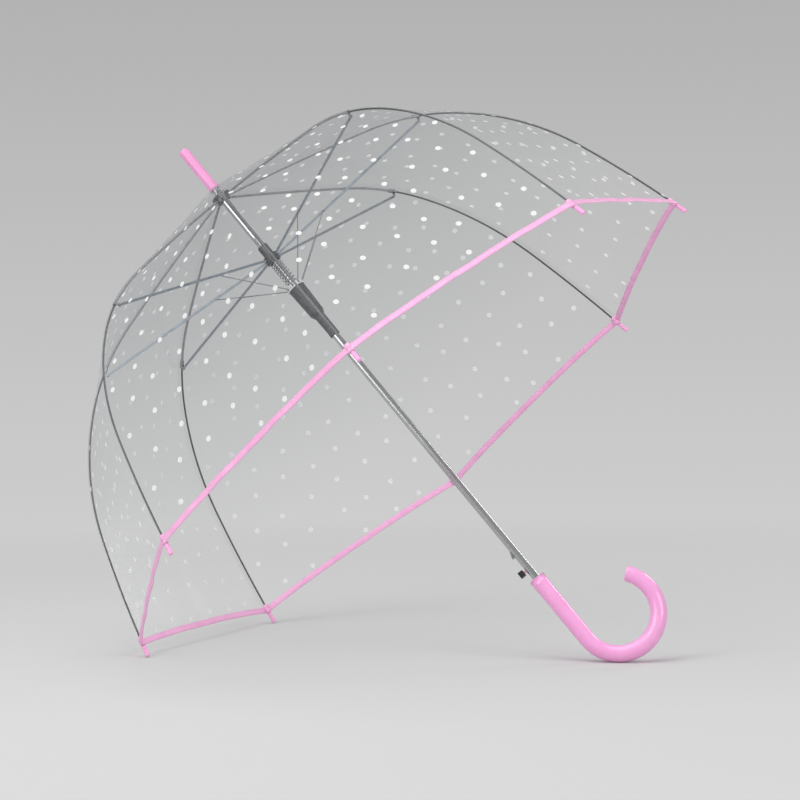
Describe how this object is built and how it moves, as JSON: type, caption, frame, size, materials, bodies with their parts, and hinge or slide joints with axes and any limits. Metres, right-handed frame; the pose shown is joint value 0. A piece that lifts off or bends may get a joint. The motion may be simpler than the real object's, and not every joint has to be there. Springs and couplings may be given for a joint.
{
  "type": "bubble umbrella",
  "caption": "Clear dome umbrella with a crook handle, automatic opening spring, runner, stretchers and folding elbowed ribs under a transparent film canopy.",
  "frame": {"origin": "on the shaft's axis in the handle's straight grip, 47 mm below its top", "axes": "+Z along the shaft towards the ferrule, +Y the way the crook bends, +X square to both"},
  "size_m": [0.8914, 0.8914, 0.8974],
  "materials": {
    "chrome_shaft": "polished",
    "dark_metal": "satin",
    "zinc_wire": "drawn",
    "stretcher_steel": "satin",
    "dark_plastic": "moulded",
    "grey_plastic": "moulded",
    "pink_plastic": "glossy moulded",
    "black_plastic": "moulded",
    "clear_film": "clear soft film"
  },
  "bodies": {
    "frame": {"shaft": "chrome_shaft", "ferrule": "pink_plastic", "crown": "dark_plastic", "crown_wire": "zinc_wire", "handle": "pink_plastic"},
    "runner": {"runner": "dark_plastic", "runner_wire": "zinc_wire"},
    "sleeve": {"sleeve": "dark_plastic", "collar": "grey_plastic", "opening_spring": "zinc_wire"},
    "button": {"release_button": "black_plastic"},
    "catch": {"catch": "zinc_wire"},
    "rib_1": {"rib_1": "dark_metal", "film_1": "clear_film"},
    "rib_end_1": {"rib_end_1": "dark_metal", "tip_1": "pink_plastic"},
    "stretcher_1": {"stretcher_1": "stretcher_steel"},
    "tie_1": {"tie_1": "zinc_wire"},
    "rib_2": {"rib_2": "dark_metal", "film_2": "clear_film"},
    "rib_end_2": {"rib_end_2": "dark_metal", "tip_2": "pink_plastic"},
    "stretcher_2": {"stretcher_2": "stretcher_steel"},
    "tie_2": {"tie_2": "zinc_wire"},
    "rib_3": {"rib_3": "dark_metal", "film_3": "clear_film"},
    "rib_end_3": {"rib_end_3": "dark_metal", "tip_3": "pink_plastic"},
    "stretcher_3": {"stretcher_3": "stretcher_steel"},
    "tie_3": {"tie_3": "zinc_wire"},
    "rib_4": {"rib_4": "dark_metal", "film_4": "clear_film"},
    "rib_end_4": {"rib_end_4": "dark_metal", "tip_4": "pink_plastic"},
    "stretcher_4": {"stretcher_4": "stretcher_steel"},
    "tie_4": {"tie_4": "zinc_wire"},
    "rib_5": {"rib_5": "dark_metal", "film_5": "clear_film"},
    "rib_end_5": {"rib_end_5": "dark_metal", "tip_5": "pink_plastic"},
    "stretcher_5": {"stretcher_5": "stretcher_steel"},
    "tie_5": {"tie_5": "zinc_wire"},
    "rib_6": {"rib_6": "dark_metal", "film_6": "clear_film"},
    "rib_end_6": {"rib_end_6": "dark_metal", "tip_6": "pink_plastic"},
    "stretcher_6": {"stretcher_6": "stretcher_steel"},
    "tie_6": {"tie_6": "zinc_wire"},
    "rib_7": {"rib_7": "dark_metal", "film_7": "clear_film"},
    "rib_end_7": {"rib_end_7": "dark_metal", "tip_7": "pink_plastic"},
    "stretcher_7": {"stretcher_7": "stretcher_steel"},
    "tie_7": {"tie_7": "zinc_wire"},
    "rib_8": {"rib_8": "dark_metal", "film_8": "clear_film"},
    "rib_end_8": {"rib_end_8": "dark_metal", "tip_8": "pink_plastic"},
    "stretcher_8": {"stretcher_8": "stretcher_steel"},
    "tie_8": {"tie_8": "zinc_wire"}
  },
  "joints": [
    {"name": "runner_slide", "type": "slide", "parent": "frame", "child": "runner", "axis": [0, 0, -1], "range_m": [0, 0.41434], "stiffness_N_per_m": 60, "springref_m": -0.25},
    {"name": "sleeve_slide", "type": "slide", "parent": "frame", "child": "sleeve", "axis": [0, 0, -1], "range_m": [0, 0.38045], "deforming": ["opening_spring"]},
    {"name": "button_press", "type": "slide", "parent": "frame", "child": "button", "axis": [0, 1, 0], "range_m": [0, 0.0025], "stiffness_N_per_m": 600},
    {"name": "catch_press", "type": "slide", "parent": "frame", "child": "catch", "axis": [0, 1, 0], "range_m": [0, 0.0026]},
    {"name": "rib_fold_1", "type": "hinge", "parent": "frame", "child": "rib_1", "pos_m": [0.0075, 0, 0.69877], "axis": [0, 1, 0], "range_deg": [0, 70.26], "deforming": ["film_1"]},
    {"name": "rib_flex_1", "type": "hinge", "parent": "rib_1", "child": "rib_end_1", "pos_m": [0.26382, 0, 0.61665], "axis": [0, -1, 0], "range_deg": [0, 41.67]},
    {"name": "stretcher_lift_1", "type": "hinge", "parent": "runner", "child": "stretcher_1", "pos_m": [0.009, 0, 0.593], "axis": [0, -1, 0], "range_deg": [0, 85.35]},
    {"name": "tie_swing_1", "type": "hinge", "parent": "stretcher_1", "child": "tie_1", "pos_m": [0.09078, 0, 0.59903], "axis": [0, 1, 0], "range_deg": [0, 29.17]},
    {"name": "rib_fold_2", "type": "hinge", "parent": "frame", "child": "rib_2", "pos_m": [0.0053, 0.0053, 0.69877], "axis": [-0.7071, 0.7071, 0], "range_deg": [0, 70.26], "deforming": ["film_2"]},
    {"name": "rib_flex_2", "type": "hinge", "parent": "rib_2", "child": "rib_end_2", "pos_m": [0.18655, 0.18655, 0.61665], "axis": [0.7071, -0.7071, 0], "range_deg": [0, 41.67]},
    {"name": "stretcher_lift_2", "type": "hinge", "parent": "runner", "child": "stretcher_2", "pos_m": [0.00636, 0.00636, 0.593], "axis": [0.7071, -0.7071, 0], "range_deg": [0, 85.35]},
    {"name": "tie_swing_2", "type": "hinge", "parent": "stretcher_2", "child": "tie_2", "pos_m": [0.06419, 0.06419, 0.59903], "axis": [-0.7071, 0.7071, 0], "range_deg": [0, 29.17]},
    {"name": "rib_fold_3", "type": "hinge", "parent": "frame", "child": "rib_3", "pos_m": [0, 0.0075, 0.69877], "axis": [-1, 0, 0], "range_deg": [0, 70.26], "deforming": ["film_3"]},
    {"name": "rib_flex_3", "type": "hinge", "parent": "rib_3", "child": "rib_end_3", "pos_m": [0, 0.26382, 0.61665], "axis": [1, 0, 0], "range_deg": [0, 41.67]},
    {"name": "stretcher_lift_3", "type": "hinge", "parent": "runner", "child": "stretcher_3", "pos_m": [0, 0.009, 0.593], "axis": [1, 0, 0], "range_deg": [0, 85.35]},
    {"name": "tie_swing_3", "type": "hinge", "parent": "stretcher_3", "child": "tie_3", "pos_m": [0, 0.09078, 0.59903], "axis": [-1, 0, 0], "range_deg": [0, 29.17]},
    {"name": "rib_fold_4", "type": "hinge", "parent": "frame", "child": "rib_4", "pos_m": [-0.0053, 0.0053, 0.69877], "axis": [-0.7071, -0.7071, 0], "range_deg": [0, 70.26], "deforming": ["film_4"]},
    {"name": "rib_flex_4", "type": "hinge", "parent": "rib_4", "child": "rib_end_4", "pos_m": [-0.18655, 0.18655, 0.61665], "axis": [0.7071, 0.7071, 0], "range_deg": [0, 41.67]},
    {"name": "stretcher_lift_4", "type": "hinge", "parent": "runner", "child": "stretcher_4", "pos_m": [-0.00636, 0.00636, 0.593], "axis": [0.7071, 0.7071, 0], "range_deg": [0, 85.35]},
    {"name": "tie_swing_4", "type": "hinge", "parent": "stretcher_4", "child": "tie_4", "pos_m": [-0.06419, 0.06419, 0.59903], "axis": [-0.7071, -0.7071, 0], "range_deg": [0, 29.17]},
    {"name": "rib_fold_5", "type": "hinge", "parent": "frame", "child": "rib_5", "pos_m": [-0.0075, 0, 0.69877], "axis": [0, -1, 0], "range_deg": [0, 70.26], "deforming": ["film_5"]},
    {"name": "rib_flex_5", "type": "hinge", "parent": "rib_5", "child": "rib_end_5", "pos_m": [-0.26382, 0, 0.61665], "axis": [0, 1, 0], "range_deg": [0, 41.67]},
    {"name": "stretcher_lift_5", "type": "hinge", "parent": "runner", "child": "stretcher_5", "pos_m": [-0.009, 0, 0.593], "axis": [0, 1, 0], "range_deg": [0, 85.35]},
    {"name": "tie_swing_5", "type": "hinge", "parent": "stretcher_5", "child": "tie_5", "pos_m": [-0.09078, 0, 0.59903], "axis": [0, -1, 0], "range_deg": [0, 29.17]},
    {"name": "rib_fold_6", "type": "hinge", "parent": "frame", "child": "rib_6", "pos_m": [-0.0053, -0.0053, 0.69877], "axis": [0.7071, -0.7071, 0], "range_deg": [0, 70.26], "deforming": ["film_6"]},
    {"name": "rib_flex_6", "type": "hinge", "parent": "rib_6", "child": "rib_end_6", "pos_m": [-0.18655, -0.18655, 0.61665], "axis": [-0.7071, 0.7071, 0], "range_deg": [0, 41.67]},
    {"name": "stretcher_lift_6", "type": "hinge", "parent": "runner", "child": "stretcher_6", "pos_m": [-0.00636, -0.00636, 0.593], "axis": [-0.7071, 0.7071, 0], "range_deg": [0, 85.35]},
    {"name": "tie_swing_6", "type": "hinge", "parent": "stretcher_6", "child": "tie_6", "pos_m": [-0.06419, -0.06419, 0.59903], "axis": [0.7071, -0.7071, 0], "range_deg": [0, 29.17]},
    {"name": "rib_fold_7", "type": "hinge", "parent": "frame", "child": "rib_7", "pos_m": [0, -0.0075, 0.69877], "axis": [1, 0, 0], "range_deg": [0, 70.26], "deforming": ["film_7"]},
    {"name": "rib_flex_7", "type": "hinge", "parent": "rib_7", "child": "rib_end_7", "pos_m": [0, -0.26382, 0.61665], "axis": [-1, 0, 0], "range_deg": [0, 41.67]},
    {"name": "stretcher_lift_7", "type": "hinge", "parent": "runner", "child": "stretcher_7", "pos_m": [0, -0.009, 0.593], "axis": [-1, 0, 0], "range_deg": [0, 85.35]},
    {"name": "tie_swing_7", "type": "hinge", "parent": "stretcher_7", "child": "tie_7", "pos_m": [0, -0.09078, 0.59903], "axis": [1, 0, 0], "range_deg": [0, 29.17]},
    {"name": "rib_fold_8", "type": "hinge", "parent": "frame", "child": "rib_8", "pos_m": [0.0053, -0.0053, 0.69877], "axis": [0.7071, 0.7071, 0], "range_deg": [0, 70.26], "deforming": ["film_8"]},
    {"name": "rib_flex_8", "type": "hinge", "parent": "rib_8", "child": "rib_end_8", "pos_m": [0.18655, -0.18655, 0.61665], "axis": [-0.7071, -0.7071, 0], "range_deg": [0, 41.67]},
    {"name": "stretcher_lift_8", "type": "hinge", "parent": "runner", "child": "stretcher_8", "pos_m": [0.00636, -0.00636, 0.593], "axis": [-0.7071, -0.7071, 0], "range_deg": [0, 85.35]},
    {"name": "tie_swing_8", "type": "hinge", "parent": "stretcher_8", "child": "tie_8", "pos_m": [0.06419, -0.06419, 0.59903], "axis": [0.7071, 0.7071, 0], "range_deg": [0, 29.17]}
  ],
  "couplings": [
    {"joint": "sleeve_slide", "follows": "runner_slide", "ratio": 0.91772},
    {"joint": "catch_press", "follows": "button_press", "ratio": 1},
    {"joint": "rib_fold_1", "follows": "runner_slide", "rad_per_m": 2.9576},
    {"joint": "rib_flex_1", "follows": "runner_slide", "rad_per_m": 1.7534},
    {"joint": "stretcher_lift_1", "follows": "runner_slide", "rad_per_m": 3.5932},
    {"joint": "tie_swing_1", "follows": "runner_slide", "rad_per_m": 1.2268},
    {"joint": "rib_fold_2", "follows": "runner_slide", "rad_per_m": 2.9576},
    {"joint": "rib_flex_2", "follows": "runner_slide", "rad_per_m": 1.7534},
    {"joint": "stretcher_lift_2", "follows": "runner_slide", "rad_per_m": 3.5932},
    {"joint": "tie_swing_2", "follows": "runner_slide", "rad_per_m": 1.2268},
    {"joint": "rib_fold_3", "follows": "runner_slide", "rad_per_m": 2.9576},
    {"joint": "rib_flex_3", "follows": "runner_slide", "rad_per_m": 1.7534},
    {"joint": "stretcher_lift_3", "follows": "runner_slide", "rad_per_m": 3.5932},
    {"joint": "tie_swing_3", "follows": "runner_slide", "rad_per_m": 1.2268},
    {"joint": "rib_fold_4", "follows": "runner_slide", "rad_per_m": 2.9576},
    {"joint": "rib_flex_4", "follows": "runner_slide", "rad_per_m": 1.7534},
    {"joint": "stretcher_lift_4", "follows": "runner_slide", "rad_per_m": 3.5932},
    {"joint": "tie_swing_4", "follows": "runner_slide", "rad_per_m": 1.2268},
    {"joint": "rib_fold_5", "follows": "runner_slide", "rad_per_m": 2.9576},
    {"joint": "rib_flex_5", "follows": "runner_slide", "rad_per_m": 1.7534},
    {"joint": "stretcher_lift_5", "follows": "runner_slide", "rad_per_m": 3.5932},
    {"joint": "tie_swing_5", "follows": "runner_slide", "rad_per_m": 1.2268},
    {"joint": "rib_fold_6", "follows": "runner_slide", "rad_per_m": 2.9576},
    {"joint": "rib_flex_6", "follows": "runner_slide", "rad_per_m": 1.7534},
    {"joint": "stretcher_lift_6", "follows": "runner_slide", "rad_per_m": 3.5932},
    {"joint": "tie_swing_6", "follows": "runner_slide", "rad_per_m": 1.2268},
    {"joint": "rib_fold_7", "follows": "runner_slide", "rad_per_m": 2.9576},
    {"joint": "rib_flex_7", "follows": "runner_slide", "rad_per_m": 1.7534},
    {"joint": "stretcher_lift_7", "follows": "runner_slide", "rad_per_m": 3.5932},
    {"joint": "tie_swing_7", "follows": "runner_slide", "rad_per_m": 1.2268},
    {"joint": "rib_fold_8", "follows": "runner_slide", "rad_per_m": 2.9576},
    {"joint": "rib_flex_8", "follows": "runner_slide", "rad_per_m": 1.7534},
    {"joint": "stretcher_lift_8", "follows": "runner_slide", "rad_per_m": 3.5932},
    {"joint": "tie_swing_8", "follows": "runner_slide", "rad_per_m": 1.2268}
  ]
}
